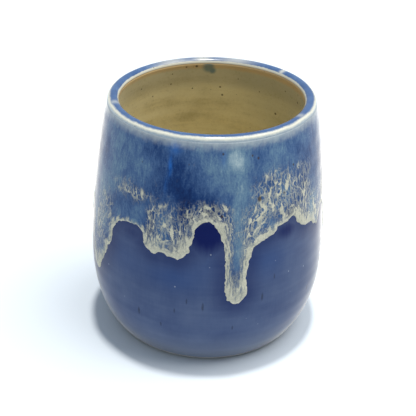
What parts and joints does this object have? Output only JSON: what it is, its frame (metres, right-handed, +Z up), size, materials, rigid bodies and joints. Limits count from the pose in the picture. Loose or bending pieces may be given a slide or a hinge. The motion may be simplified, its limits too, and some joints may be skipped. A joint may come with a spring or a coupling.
{
  "type": "shaving mug",
  "caption": "Handleless hand-thrown stoneware shaving mug, ochre inside, blue outside, with a pale over-glaze that ran down the wall.",
  "frame": {"origin": "centre of the foot ring's underside, on the table", "axes": "+Z up along the mug's axis; -Y is the front, where the longest glaze run hangs a little to the right of the middle; +X is to the right"},
  "size_m": [0.0925, 0.0924, 0.0967],
  "materials": {
    "stoneware_clay": "bare fired clay, fine grit",
    "ochre_liner_glaze": "satin-gloss, iron specks",
    "blue_glaze": "gloss",
    "pale_over_glaze": "satin-gloss, streaked and laced",
    "rim_glaze": "gloss, pale where it thins at both edges"
  },
  "bodies": {
    "root": {"stoneware_body": "stoneware_clay", "liner_glaze": "ochre_liner_glaze", "blue_glaze": "blue_glaze", "over_glaze": "pale_over_glaze", "rim_glaze": "rim_glaze"}
  },
  "joints": []
}
